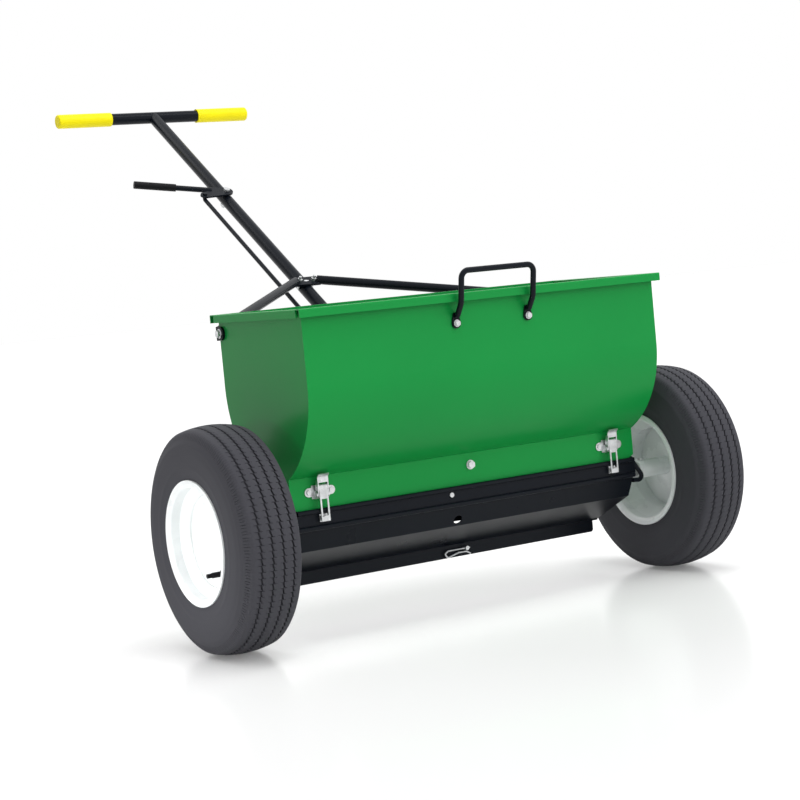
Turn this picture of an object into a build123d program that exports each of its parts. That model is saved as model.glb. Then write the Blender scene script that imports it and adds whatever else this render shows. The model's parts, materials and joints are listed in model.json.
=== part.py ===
from build123d import *
from math import asin, atan2, cos, degrees, hypot, radians, sin, tan
import os

# Walk-behind drop seeder: a sheet-metal hopper on two pneumatic tyres, a metering trough
# latched under it, and a sloping column with a T-bar and a control lever.
# Sizes are in millimetres and angles in degrees. X runs across the machine, the operator
# stands at +Y, +Z is up. The pieces are drawn with the axle along X through the origin, so
# each height is above the axle. They are moved into the part's own frame when written.

# Wheels
tyre_r = 203
tyre_half_width = 59
tyre_wall = 8
tread_half_width = 46
tread_drop = 6.5
groove_width = 3.6
groove_depth = 3.2
groove_pitch = 22
bead_seat_r = 101.6
bead_half_width = 54.5
rim_flange_r = 112
rim_half_width = 58
rim_gauge = 3
well_r = 85
well_outer = 22
well_inner = 10
well_ramp = 36
bowl_depth = 10.5
hub_r = 18
hub_reach = 66
valve_r = 5
valve_length = 31
valve_foot = 7.5
valve_circle = 61
valve_angle = 21
wheel_clearance = 52

# Hopper
sheet = 2
hopper_half_length = 385
hopper_half_depth = 156
rim_z = 391
rim_width = 14
end_rim_width = 10
rim_lip = 15
wall_height = 134
crease_z = 91
neck_half_depth = 55
neck_bottom = 11
joggle_top = 40
joggle_drop = 7
joggle_depth = 14

# Axle and what turns with it
axle_r = 12.7
axle_overhang = 5
running_gap = 0.05
screw_inset = 51
screw_head_r = 6.5
drive_pin_r = 4
groove_floor_r = 9.7
rotor_tube_r = 15.5
rotor_fin_r = 27.5
rotor_end_gap = 8
rotor_fin_gauge = 2.5
fin_count = 6
rotor_segments = 3
segment_stagger = 20

# Metering pan and shutter
pan_gap = 0.5
pan_top = 31
pan_shoulder = 3
pan_floor = -31
pan_floor_half = 26
pan_bead_r = 4.5
port_r = 6
port_pitch = 50
port_margin = 24
slide_gauge = 2.1
slide_half_width = 20
slide_gap = 0.3
slide_left_gap = 24
slide_right_gap = 16
guide_inset = 32
guide_gauge = 2
guide_lip = 5
tongue_width = 24
slide_pin_r = 4

# Trough shell
trough_inset = 11
end_plate = 3
end_flange = 8
apron_overhang = 1
web_bottom = 0
apron_knee = (-37, -42)
apron_rear = (71, -94)
apron_lip_bottom = -119
apron_lip_inset = 13
sight_hole_r = 9
sight_hole_x = -31
rivet_x = -50
rivet_z = 19
rivet_r = 4.5
bead_z = 30
swage_r = 4.5
bush_r = 16
bush_flange = 3
bush_ear = 24
bush_ear_r = 8
m6 = 3

# Handle, column and brace
bar_y = 1155
bar_z = 853
bar_r = 13.35
tube_wall = 2.5
bar_half_length = 239
grip_start = 111
grip_r = 16
grip_end = 4
column_r = 13.5
column_bend_out = 50.8
column_bend_z = 223
column_bend_r = 60
column_foot_out = 35
column_foot_z = 47
brace_r = 9.5
brace_spread = 26
brace_up_column = 361.4
pad_half_length = 31
pad_half_width = 14
pad_gauge = 5
elbow_inset = 13
elbow_out = 20
elbow_drop = 29
brace_bolt_inset = 9
brace_bolt_drop = 35
tongue_half_height = 13
ubolt_r = 3
ubolt_nut_r = 5.8

# Column foot bracket and the hooks behind the hopper's neck
bracket_plate = 3
bracket_bottom = 40
bracket_top_gap = 2
bracket_half_width = 34
foot_bolt_back = 20
neck_bolt_z = 69
spacer_r = 8
m8 = 4
bolt_gap = 0.3
hook_inset = 135
hook_half_width = 12
hook_rise = 26

# Control lever, rod, crank
lever_t = 390
lever_gauge = 4
lever_lift = 1.5
lug_x = 58
crank_x = -24
crank_out = 60
crank_z = -4
crank_gauge = 3
crank_boss = 1.8
crank_boss_r = 10
crank_boss_drop = 5
slide_arm = 38
rod_arm = 34
crank_half_turn = 15
crank_slot_gap = 0.3
lever_length = 205
lever_angle = 15
lever_rod_r = 6
lever_grip_r = 8.25
lever_grip_length = 90
rod_r = 4.5
rod_offset = 8
rod_past_bend = 8.1
rod_bottom = -18
rod_knee_rise = 36
shelf_z = 1
shelf_gauge = 3
shelf_half_width = 20

# Latches
latch_inset = 60
latch_pivot_out = 9
latch_pivot_z = 59
latch_link = 14
latch_link_out = 11
latch_pin_r = 2.5
latch_eye_r = 4.6
latch_ear_x = 23
latch_ear_r = 8
latch_lift = 5
latch_rivet_r = 4.5
strap_half_width = 8.7
strap_bottom = 11
latch_gap = 0.3
cheek_gauge = 2
keeper_z = 19.3

# Lift handle
lift_left = -70
lift_right = 88
lift_foot_drop = 54
lift_rise = 39
lift_out = 20
lift_rod_r = 5.25
lift_foot_gauge = 4

# Small rods
guard_r = 4.5
guard_reach = 38
clip_wire_r = 1.6
stud_x = 52
stud_z = -104
stud_r = 4

# Places that follow from the driving sizes
wheel_x = hopper_half_length + wheel_clearance + tyre_half_width
axle_half_length = wheel_x + axle_overhang
screw_place = wheel_x - screw_inset
grip_half_length = bar_half_length + grip_end
part_y = (tyre_r - (bar_y + grip_r)) / 2
curve_z = rim_z - wall_height
curve_run = hopper_half_depth - neck_half_depth
curve_r = (curve_run ** 2 + (curve_z - crease_z) ** 2) / (2 * curve_run)
curve_y = curve_r - hopper_half_depth
joggle_bottom = joggle_top - joggle_drop
skirt_x = hopper_half_length - joggle_depth
rim_y = hopper_half_depth + rim_width
rim_x = hopper_half_length + end_rim_width
trough_half_length = hopper_half_length - trough_inset
rotor_half_length = trough_half_length - rotor_end_gap
pan_inner = neck_half_depth + pan_gap
web_y = pan_inner + sheet + sheet
apron_half_length = trough_half_length + end_plate + apron_overhang
rear_bead_y = pan_inner + pan_bead_r
front_bead_y = -(web_y - sheet + swage_r)
port_count = 2 * int((trough_half_length - port_margin) / port_pitch)
first_port = -port_pitch * (port_count - 1) / 2
slide_left = slide_left_gap - trough_half_length
slide_right = trough_half_length - slide_right_gap
slide_top = pan_floor - slide_gap
slide_bottom = slide_top - slide_gauge
guide_half_length = trough_half_length - guide_inset
hook_x = hopper_half_length - hook_inset
latch_x = hopper_half_length - latch_inset
latch_pivot_y = -(neck_half_depth + latch_pivot_out)
latch_link_y = -(neck_half_depth + latch_link_out)
crank_y = neck_half_depth + crank_out
slide_pin_y = crank_y - slide_arm
bracket_top = crease_z - bracket_top_gap
brace_elbow = (hopper_half_length - elbow_inset, hopper_half_depth + elbow_out, rim_z - elbow_drop)
brace_bolt_y = hopper_half_depth - brace_bolt_inset
brace_bolt_z = rim_z - brace_bolt_drop
lift_foot_z = rim_z - lift_foot_drop
lift_top = rim_z + lift_rise
lift_top_y = -(rim_y + lift_out)

# The column runs straight from the T-bar to its bend
column_foot = (neck_half_depth + column_foot_out, column_foot_z)
column_bend_y = hopper_half_depth + column_bend_out
column_slope = degrees(atan2(bar_z - column_bend_z, bar_y - column_bend_y))
column_length = hypot(bar_y - column_bend_y, bar_z - column_bend_z)
brace_joint_t = column_length - brace_up_column
rod_bend_t = column_length + rod_past_bend

# Motion: the lever pushes the rod, the rod turns the crank, the crank moves the shutter
slide_travel = 2 * slide_arm * tan(radians(crank_half_turn))
rod_travel_y = 2 * rod_arm * tan(radians(crank_half_turn))
rod_travel = rod_travel_y / cos(radians(column_slope))
lug_half_turn = degrees(asin(rod_travel / 2 / hypot(lug_x, rod_travel / 2)))
slide_pin_x = crank_x + slide_travel / 2
rod_x = crank_x - rod_arm
rod_pin_y = crank_y - rod_travel_y / 2

# The column's own directions: down along it, and out of its upper side
down = Vector(0, -cos(radians(column_slope)), -sin(radians(column_slope)))
out = Vector(0, -sin(radians(column_slope)), cos(radians(column_slope)))
bar_centre = Vector(0, bar_y, bar_z)


# Helpers

def on_column(t, lift=0, x=0):
    """A point at a distance down the column and a height off its middle line."""
    return bar_centre + down * t + out * lift + Vector(x, 0, 0)


def block(x, y, z):
    """A block between pairs of limits along the three axes."""
    place = Pos((x[0] + x[1]) / 2, (y[0] + y[1]) / 2, (z[0] + z[1]) / 2)
    return place * Box(abs(x[1] - x[0]), abs(y[1] - y[0]), abs(z[1] - z[0]))


def bar(start, end, radius):
    """A round bar from one point to another."""
    way = Vector(*end) - Vector(*start)
    return extrude(Plane(origin=start, z_dir=way) * Circle(radius), way.length)


def ring(start, end, radius, bore):
    """A round tube from one point to another."""
    way = Vector(*end) - Vector(*start)
    return extrude(Plane(origin=start, z_dir=way) * (Circle(radius) - Circle(bore)), way.length)


def bent_bar(points, bend, radius):
    """A round rod bent along a route."""
    path = FilletPolyline(*points, radius=bend)
    return sweep(Plane(path @ 0, z_dir=path % 0) * Circle(radius), path=path)


def along_x(section, half_length):
    """A section drawn in Y and Z, the same along X to both sides of the middle."""
    return extrude(Plane.YZ * section, half_length, both=True)


def between_x(section, start, end):
    """A section drawn in Y and Z, from one X to another."""
    return extrude(Plane.YZ.offset(start) * section, end - start)


def placed(shape, origin, z_dir, x_dir=None):
    """A shape drawn about the origin, moved to a point and turned."""
    return Plane(origin=origin, x_dir=x_dir, z_dir=z_dir).location * shape


def mirrored_x(shape):
    return mirror(shape, about=Plane.YZ)


def mirrored_y(shape):
    return mirror(shape, about=Plane.XZ)


def arm(start, start_r, end, end_r):
    """The outline around two discs."""
    rims = (Pos(*start) * Circle(start_r)).edges() + (Pos(*end) * Circle(end_r)).edges()
    return make_hull(rims)


def hex_bolt(radius, grip, washer=0.0):
    """Hex bolt with its head above the plane Z = 0, and its nut under the grip length."""
    across = radius * 1.85
    height = radius * 1.3
    head = Pos(0, 0, washer) * extrude(RegularPolygon(across, 6), height)
    head = head & Pos(0, 0, washer + height / 2) * Cylinder(across * 0.97, height)
    shank = Pos(0, 0, -(grip + height + radius) / 2) * Cylinder(radius, grip + height + radius)
    bolt = head + shank
    if washer:
        bolt += Pos(0, 0, washer / 2) * Cylinder(radius * 2.2, washer)
    nut = extrude(RegularPolygon(across, 6), height) - Cylinder(radius + bolt_gap / 2, 3 * height)
    return [bolt, Pos(0, 0, -grip - height) * nut]


def write(name, shape):
    """Move a piece, or a list of separate solids, into the part's frame and write it."""
    pieces = shape if isinstance(shape, list) else [shape]
    solids = [solid for piece in pieces for solid in piece.solids()]
    body = solids[0] if len(solids) == 1 else Compound(children=solids)
    export_step(Pos(0, part_y, tyre_r) * body, f"parts/{name}.step")


# Wheels, drawn about the X axis with the outer side toward +X, then set on the axle

def on_axle(shape, side):
    """Set a wheel piece on the right (1) or left (-1) end of the axle."""
    turned = shape if side > 0 else mirrored_x(shape)
    return Pos(side * wheel_x, 0, 0) * turned


def crown_radius(a):
    """Radius of the tread at a distance from the tyre's middle."""
    return tyre_r - tread_drop * (a / tread_half_width) ** 2


def tyre():
    shoulder = (tread_half_width, tyre_r - tread_drop)
    bulge = (tyre_half_width, (tyre_r + bead_seat_r) / 2)
    bead_top = (bead_half_width, rim_flange_r + 1)
    inner_bead = (bead_half_width - 2 * tyre_wall + 2, bead_seat_r)
    half = [
        Line((0, tyre_r - tyre_wall), (0, tyre_r)),
        ThreePointArc((0, tyre_r), (tread_half_width / 2, crown_radius(tread_half_width / 2)), shoulder),
        ThreePointArc(shoulder, (tyre_half_width - 3.4, tyre_r - 24.5), bulge),
        ThreePointArc(bulge, (tyre_half_width - 1.1, (bulge[1] + bead_top[1]) / 2), bead_top),
        Line(bead_top, (bead_half_width, bead_seat_r + 4.4)),
        Line((bead_half_width, bead_seat_r + 4.4), (bead_half_width - 4, bead_seat_r)),
        Line((bead_half_width - 4, bead_seat_r), inner_bead),
        Line(inner_bead, (inner_bead[0], rim_flange_r + 4)),
        ThreePointArc((inner_bead[0], rim_flange_r + 4), (tyre_half_width - tyre_wall, bulge[1]),
                      (tread_half_width - 6, shoulder[1] - tyre_wall - 2)),
        ThreePointArc((tread_half_width - 6, shoulder[1] - tyre_wall - 2),
                      (tread_half_width / 2 - 3, tyre_r - tyre_wall - 2.3), (0, tyre_r - tyre_wall)),
    ]
    section = make_face(half)
    section += mirror(section, about=Plane.YZ)
    for step in (-1.5, -0.5, 0.5, 1.5):
        a = step * groove_pitch
        floor = crown_radius(a) - groove_depth
        section -= Pos(a, floor + tread_drop) * Rectangle(groove_width, 2 * tread_drop)
    return revolve(section, axis=Axis.X)


def rim_section():
    """Rolled rim with a drop-centre well, a closed bowl and a hub on the inner side."""
    seat = bead_seat_r - rim_gauge / 2
    edge = rim_half_width - rim_gauge / 2
    well = well_r - rim_gauge / 2
    barrel = FilletPolyline(
        (edge, rim_flange_r), (edge - 0.4, seat + 4.4), (edge - 3.5, seat), (well_ramp, seat),
        (well_outer + 2, well), (-well_inner, well), (-well_ramp, seat), (3.5 - edge, seat),
        (0.4 - edge, seat + 4.4), (-edge, rim_flange_r), radius=1.8)
    bowl = ThreePointArc((well_outer - 2, well), (bowl_depth + 3.5, 58), (bowl_depth, 20))
    middle = Line((bowl_depth, 20), (bowl_depth, 0))
    section = trace(barrel, rim_gauge) + trace(bowl, rim_gauge) + trace(middle, rim_gauge)
    inner_face = bowl_depth - rim_gauge / 2
    hub = Pos((inner_face - hub_reach) / 2 + 0.5, hub_r / 2) * Rectangle(hub_reach + inner_face + 1, hub_r)
    bore_end = axle_overhang + 2
    bore_r = axle_r + running_gap
    bore = Pos((bore_end - hub_reach) / 2 - 2, bore_r / 2) * Rectangle(hub_reach + bore_end + 4, bore_r)
    lower = Pos(0, -rim_flange_r) * Rectangle(4 * hub_reach, 2 * rim_flange_r)
    return section + hub - bore - lower


def valve_place(a):
    """A point on the valve's line, at a distance out from the tyre's middle."""
    angle = radians(valve_angle)
    return Vector(a, -valve_circle * sin(angle), -valve_circle * cos(angle))


def rim():
    body = revolve(rim_section(), axis=Axis.X)
    return body - bar(valve_place(0), valve_place(valve_foot + valve_length), valve_r + bolt_gap)


def valve():
    foot = bowl_depth + valve_foot
    stem = bar(valve_place(foot - 8), valve_place(foot + valve_length - 10), valve_r)
    cap = bar(valve_place(foot + valve_length - 10), valve_place(foot + valve_length), valve_r - 1)
    return stem + cap + bar(valve_place(foot), valve_place(foot + 2.5), valve_r + 2)


def right_rim():
    """The right wheel is pinned to the axle."""
    hole = bar((screw_place, 0, -2 * hub_r), (screw_place, 0, 2 * hub_r), drive_pin_r + running_gap)
    return on_axle(rim(), 1) - hole


def left_rim():
    """The left wheel turns on the axle, kept by a screw in the axle's groove."""
    hole = bar((-screw_place, 0, 0), (-screw_place, 0, 2 * hub_r), drive_pin_r + running_gap)
    return on_axle(rim(), -1) - hole


def drive_pin():
    reach = hub_r + 3
    pin = bar((screw_place, 0, -reach), (screw_place, 0, reach), drive_pin_r)
    head = bar((screw_place, 0, hub_r + 0.5), (screw_place, 0, reach), 1.7 * drive_pin_r)
    return pin + head


def left_axle_screw():
    tip = groove_floor_r + 0.6
    shank = bar((-screw_place, 0, tip), (-screw_place, 0, hub_r + 7), drive_pin_r)
    head = bar((-screw_place, 0, hub_r + 0.6), (-screw_place, 0, hub_r + 7), screw_head_r)
    return shank + head


def axle():
    shaft = bar((-axle_half_length, 0, 0), (axle_half_length, 0, 0), axle_r)
    groove_half = drive_pin_r + 0.5
    groove = ring((-screw_place - groove_half, 0, 0), (-screw_place + groove_half, 0, 0),
                  axle_r + 1, groove_floor_r)
    hole = bar((screw_place, 0, -2 * axle_r), (screw_place, 0, 2 * axle_r), drive_pin_r + running_gap)
    shaft = shaft - groove - hole
    return chamfer(shaft.faces().sort_by(Axis.X)[-1].edges() + shaft.faces().sort_by(Axis.X)[0].edges(), 1)


def rotor():
    """Agitator: a sleeve on the axle with rows of fins, each row turned a little further."""
    bore = axle_r + 2 * running_gap
    half = rotor_half_length
    body = ring((-half, 0, 0), (half, 0, 0), rotor_tube_r, bore)
    length = 2 * half / rotor_segments
    fin_height = rotor_fin_r - rotor_tube_r + 1
    fin = Pos(0, rotor_tube_r - 1 + fin_height / 2) * Rectangle(rotor_fin_gauge, fin_height)
    for number in range(rotor_segments):
        start = -half + number * length
        turns = [segment_stagger * number + 360 / fin_count * n for n in range(fin_count)]
        star = Sketch() + [Rot(0, 0, turn) * fin for turn in turns]
        body += between_x(star, start + 0.5, start + length - 0.5)
    return body


# Hopper

def hopper_outline():
    """Outside of the hopper's four-sided shell, seen from the end."""
    start = -degrees(asin((curve_z - crease_z) / curve_r))
    rear = [
        Line((0, rim_z), (hopper_half_depth, rim_z)),
        Line((hopper_half_depth, rim_z), (hopper_half_depth, curve_z)),
        CenterArc((-curve_y, curve_z), curve_r, start, -start),
        Line((neck_half_depth, crease_z), (neck_half_depth, neck_bottom)),
        Line((neck_half_depth, neck_bottom), (0, neck_bottom)),
        Line((0, neck_bottom), (0, rim_z)),
    ]
    half = make_face(rear)
    return half + mirror(half, about=Plane.YZ)


def end_line():
    """Middle of the end sheet, from its rolled rim down past the joggle, in X and Z."""
    edge = hopper_half_length - sheet / 2
    return FilletPolyline(
        (rim_x - sheet / 2, rim_z - rim_lip), (rim_x - sheet / 2, rim_z - sheet / 2),
        (edge, rim_z - sheet / 2), (edge, joggle_top), (edge - joggle_depth, joggle_bottom),
        (edge - joggle_depth, neck_bottom),
        radius=1.5)


def hopper_end(side):
    """End panel with a folded rim and a joggled skirt that is notched over the axle."""
    strip = extrude(Plane.XZ * trace(end_line(), sheet), hopper_half_depth, both=True)
    panel = strip & along_x(hopper_outline(), rim_x + 5)
    panel -= bar((skirt_x - 20, 0, 0), (skirt_x + 20, 0, 0), axle_r + 2.5)
    bolt_hole = bar((hopper_half_length - 10, brace_bolt_y, brace_bolt_z),
                    (hopper_half_length + 10, brace_bolt_y, brace_bolt_z), m8 + bolt_gap)
    panel -= bolt_hole
    return panel if side > 0 else mirrored_x(panel)


def inside_ends():
    """The space between the two end panels, as a prism through the hopper."""
    x0 = hopper_half_length - sheet
    x1 = x0 - joggle_depth
    half = make_face(Polyline((0, rim_z + 5), (x0, rim_z + 5), (x0, joggle_top), (x1, joggle_bottom),
                              (x1, 0), (0, 0), close=True))
    half -= trace(end_line(), sheet)
    return extrude(Plane.XZ * (half + mirror(half, about=Plane.YZ)), rim_y + 5, both=True)


def hopper_sheet():
    """Rear hopper sheet: a skin the thickness of the sheet, with a folded rim along its top."""
    outline = hopper_outline()
    front_half = Pos(-rim_y, rim_z / 2) * Rectangle(2 * rim_y, 2 * rim_z)
    skin = outline - offset(outline, -sheet) - front_half
    skin -= Pos(0, rim_z) * Rectangle(2 * (hopper_half_depth - sheet), 4 * sheet)
    skin -= Pos(0, neck_bottom) * Rectangle(2 * (neck_half_depth - sheet), 4 * sheet)
    web = along_x(skin, hopper_half_length) & inside_ends()
    fold = FilletPolyline((rim_y - sheet / 2, rim_z - rim_lip), (rim_y - sheet / 2, rim_z - sheet / 2),
                          (hopper_half_depth - sheet, rim_z - sheet / 2), radius=1.5)
    rim = along_x(trace(fold, sheet), rim_x)
    corner = block((hopper_half_length - sheet, rim_x + 1), (0, hopper_half_depth), (rim_z - 30, rim_z + 1))
    rim -= corner
    rim -= mirrored_x(corner)
    neck_hole = bar((0, 0, neck_bolt_z), (0, rim_y, neck_bolt_z), m8 + bolt_gap)
    return web + rim - neck_hole


def hopper_front():
    panel = mirrored_y(hopper_sheet())
    for x in (lift_left, lift_right):
        panel -= bar((x, -rim_y, lift_foot_z), (x, 0, lift_foot_z), m6 + bolt_gap)
    return panel


# Metering trough

def pan_line():
    """Middle of the metering pan's sheet, seen from the end."""
    wall = pan_inner + sheet / 2
    floor = pan_floor + sheet / 2
    return FilletPolyline((-wall, pan_top), (-wall, pan_shoulder), (-pan_floor_half, floor),
                          (pan_floor_half, floor), (wall, pan_shoulder), (wall, pan_top), radius=3)


def metering_pan():
    """Pan under the rotor with a row of ports and a rolled bead along its rear edge."""
    section = trace(pan_line(), sheet)
    bead = Pos(rear_bead_y, pan_top) * (Circle(pan_bead_r) - Circle(pan_bead_r - sheet))
    pan = along_x(section + bead, trough_half_length)
    for number in range(port_count):
        x = first_port + number * port_pitch
        pan -= bar((x, 0, pan_floor - 5), (x, 0, pan_floor + 5), port_r)
    return pan


def apron_line():
    """Middle of the apron's sheet, from the top of the web to the bend of the lip."""
    web = -(web_y - sheet / 2)
    return FilletPolyline((web, bead_z), (web, web_bottom), apron_knee, apron_rear,
                          (apron_rear[0], apron_rear[1] - 8), radius=3)


def apron_strip():
    return along_x(trace(apron_line(), sheet), apron_half_length)


def front_apron():
    """One sheet: rolled top bead, web, swaged bead, steep face, sloping floor and rear lip."""
    beads = Sketch()
    for z in (bead_z, web_bottom):
        beads += Pos(front_bead_y, z) * (Circle(swage_r) - Circle(swage_r - sheet))
    apron = apron_strip() + along_x(beads, apron_half_length)
    lip_half = apron_half_length - apron_lip_inset
    lip_top = apron_rear[1] - 6
    outline = Pos(0, (lip_top + apron_lip_bottom) / 2) * Rectangle(2 * lip_half, lip_top - apron_lip_bottom)
    outline = fillet(outline.vertices().sort_by(Axis.Y)[:2], 6)
    lip = Pos(0, apron_rear[0] + sheet / 2, 0) * extrude(Plane.XZ * outline, sheet)
    for side in (-1, 1):
        apron -= block((side * lip_half, side * (apron_half_length + 1)),
                       (apron_rear[0] - 3, apron_rear[0] + 3), (apron_lip_bottom, apron_rear[1] - 3))
    apron += lip
    knee_y = (-(web_y - sheet / 2) + apron_knee[0]) / 2
    knee_z = (web_bottom + apron_knee[1]) / 2 - 9
    way = Vector(0, -(web_bottom - apron_knee[1]), -(apron_knee[0] + web_y)).normalized()
    centre = Vector(sight_hole_x, knee_y + 5, knee_z)
    apron -= bar(centre - way * 12, centre + way * 12, sight_hole_r)
    apron -= bar((stud_x, apron_rear[0] - 10, stud_z), (stud_x, apron_rear[0] + 10, stud_z), stud_r)
    return apron


def trough_end(side):
    """Plate that closes the trough, carries the axle bush and has a flange along its front."""
    front = -(web_y - sheet)
    rear = apron_rear[0] + sheet / 2
    outline = make_face(Polyline((front, joggle_bottom), (front, web_bottom), (apron_knee[0], apron_knee[1]),
                                 apron_rear, (rear, apron_rear[1]), (rear, joggle_bottom), close=True))
    inner = trough_half_length
    plate = between_x(outline, inner, inner + end_plate) - apron_strip()
    outer = inner + end_plate
    flange = block((outer, outer + end_flange), (front, front + sheet), (web_bottom + 3, joggle_bottom))
    plate += flange
    plate -= bar((inner - 5, 0, 0), (inner + 10, 0, 0), bush_r)
    for y in (-bush_ear, bush_ear):
        plate -= bar((inner - 5, y, 0), (inner + 10, y, 0), m6 + bolt_gap)
    return plate if side > 0 else mirrored_x(plate)


def axle_bush():
    """Two-eared flanged bush in the right trough end."""
    inner = trough_half_length
    outer = inner + end_plate
    sleeve = ring((inner - 2, 0, 0), (outer + bush_flange + 3, 0, 0), bush_r, axle_r + running_gap)
    ears = arm((-bush_ear, 0), bush_ear_r, (0, 0), bush_r + 4)
    ears += arm((bush_ear, 0), bush_ear_r, (0, 0), bush_r + 4)
    ears -= Circle(bush_r - 1)
    for y in (-bush_ear, bush_ear):
        ears -= Pos(y, 0) * Circle(m6 + bolt_gap)
    return sleeve + between_x(ears, outer, outer + bush_flange)


def bush_bolts():
    start = trough_half_length + end_plate + bush_flange
    bolts = []
    for y in (-bush_ear, bush_ear):
        for piece in hex_bolt(m6, end_plate + bush_flange):
            right = placed(piece, (start, y, 0), (1, 0, 0))
            bolts += [right, mirrored_x(right)]
    return bolts


def on_slide_pin(low, high, radius):
    """An upright cylinder on the slide pin's line."""
    return bar((slide_pin_x, slide_pin_y, low), (slide_pin_x, slide_pin_y, high), radius)


def shutter_slide():
    """Sliding strip under the pan, with a hole for each port and a tongue to the crank."""
    strip = block((slide_left, slide_right), (-slide_half_width, slide_half_width), (slide_bottom, slide_top))
    for number in range(port_count):
        x = first_port + number * port_pitch + slide_travel
        strip -= bar((x, 0, slide_bottom - 5), (x, 0, slide_top + 5), port_r)
    half = tongue_width / 2
    tongue = block((slide_pin_x - half, slide_pin_x + half), (slide_half_width - 1, slide_pin_y),
                   (slide_bottom, slide_top))
    eye = on_slide_pin(slide_bottom, slide_top, half)
    return strip + tongue + eye - on_slide_pin(slide_bottom - 5, slide_top + 5, slide_pin_r)


def slide_pin():
    """Upright pin riveted in the tongue, standing in the crank's slot."""
    top = crank_z + crank_gauge + 1
    pin = on_slide_pin(slide_bottom - 2, top, slide_pin_r)
    collar = on_slide_pin(slide_top, slide_top + 3, slide_pin_r + 2.5)
    head = on_slide_pin(slide_bottom - 2, slide_bottom, slide_pin_r + 2)
    return pin + collar + head


def slide_guides():
    """Angle strips that carry the shutter, the rear one parted for the tongue."""
    foot = slide_half_width + slide_gap
    top = pan_floor
    low = slide_bottom - slide_gap - guide_gauge
    section = make_face(Polyline((foot, top), (pan_floor_half, top), (pan_floor_half, low),
                                 (foot - guide_lip, low), (foot - guide_lip, low + guide_gauge),
                                 (foot, low + guide_gauge), close=True))
    half = tongue_width / 2 + 4
    gap_left = slide_pin_x - slide_travel - half
    gap_right = slide_pin_x + half
    front = mirrored_y(along_x(section, guide_half_length))
    return [front, between_x(section, -guide_half_length, gap_left),
            between_x(section, gap_right, guide_half_length)]


def rear_hooks():
    """Strips on the hopper's neck that hold up the pan's rear bead."""
    inner = pan_bead_r + 0.3
    outer = inner + bracket_plate
    hook = Pos(rear_bead_y, pan_top) * (Circle(outer) - Circle(inner))
    wall = neck_half_depth + bracket_plate
    hook -= Pos(wall + 2 - 2 * outer, pan_top) * Rectangle(4 * outer, 4 * outer)
    top = pan_top + inner + bracket_plate / 2
    reach = rear_bead_y - neck_half_depth + 2
    hook += Pos(neck_half_depth + reach / 2, top) * Rectangle(reach, bracket_plate)
    middle = Pos(neck_half_depth + bracket_plate / 2, top + hook_rise / 2 - 1)
    hook += middle * Rectangle(bracket_plate, hook_rise)
    strips = []
    for x in (-hook_x, hook_x):
        strips.append(between_x(hook, x - hook_half_width, x + hook_half_width))
        strips.append(placed(Cylinder(5, 3), (x, wall + 1.5, top + hook_rise / 2), (0, 1, 0)))
    return strips


def apron_rivet():
    place = (rivet_x, -web_y, rivet_z)
    return placed(Cylinder(rivet_r, 2, align=(Align.CENTER, Align.CENTER, Align.MIN)), place, (0, -1, 0))


# Latches

def across(x, reach, place, radius):
    """A cylinder along X through a latch, at a place in Y and Z."""
    return bar((x - reach, *place), (x + reach, *place), radius)


def latch_base(x):
    """Base plate with two round ears for rivets and two lugs for the lever's pivot."""
    outline = arm((-latch_ear_x, 0), latch_ear_r, (latch_ear_x, 0), latch_ear_r) + Rectangle(34, 24)
    y = -neck_half_depth
    plate = placed(extrude(outline, cheek_gauge), (x, y, latch_pivot_z + latch_lift), (0, -1, 0), (1, 0, 0))
    inner = strap_half_width + 2 * latch_gap + cheek_gauge
    lug = arm((latch_pivot_y, latch_pivot_z), 5, (y - cheek_gauge - 2, latch_pivot_z), 8)
    lug &= Pos(y - cheek_gauge - 4 * latch_ear_r, latch_pivot_z) * Rectangle(8 * latch_ear_r, 8 * latch_ear_r)
    for start in (x - inner - cheek_gauge, x + inner):
        plate += between_x(lug, start, start + cheek_gauge)
    reach = inner + cheek_gauge + 1
    return plate - across(x, reach, (latch_pivot_y, latch_pivot_z), latch_pin_r)


def latch_pivot_pins():
    pins = []
    for x in (-latch_x, latch_x):
        reach = strap_half_width + 2 * latch_gap + 2 * cheek_gauge + 1.2
        pins.append(across(x, reach, (latch_pivot_y, latch_pivot_z), latch_pin_r))
    return pins


def latch_lever(x):
    """Over-centre lever: two cheeks joined above the link pin by a curled finger tab."""
    inner = strap_half_width + latch_gap
    link = (latch_link_y, latch_pivot_z + latch_link)
    top = latch_pivot_z + 34
    cheek = arm((latch_pivot_y, latch_pivot_z), 5, link, 5)
    cheek += make_face(Polyline((link[0] - 5, link[1] - 2), (link[0] + 5, link[1] - 2),
                                (link[0] + 1, top - 8), (link[0] - 5, top - 8), close=True))
    lever = between_x(cheek, x - inner - cheek_gauge, x - inner)
    lever += between_x(cheek, x + inner, x + inner + cheek_gauge)
    face_y = link[0] - 4
    tab = FilletPolyline((face_y, latch_pivot_z + 21.5), (face_y, top - 2), (face_y - 6, top + 3), radius=5)
    lever += between_x(trace(tab, cheek_gauge), x - inner - cheek_gauge, x + inner + cheek_gauge)
    lever -= across(x, 2 * strap_half_width, (latch_pivot_y, latch_pivot_z), latch_pin_r + running_gap)
    return lever - across(x, 2 * strap_half_width, link, latch_pin_r)


def latch_link_pin(x):
    reach = strap_half_width + latch_gap + cheek_gauge + 1
    return across(x, reach, (latch_link_y, latch_pivot_z + latch_link), latch_pin_r)


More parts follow.
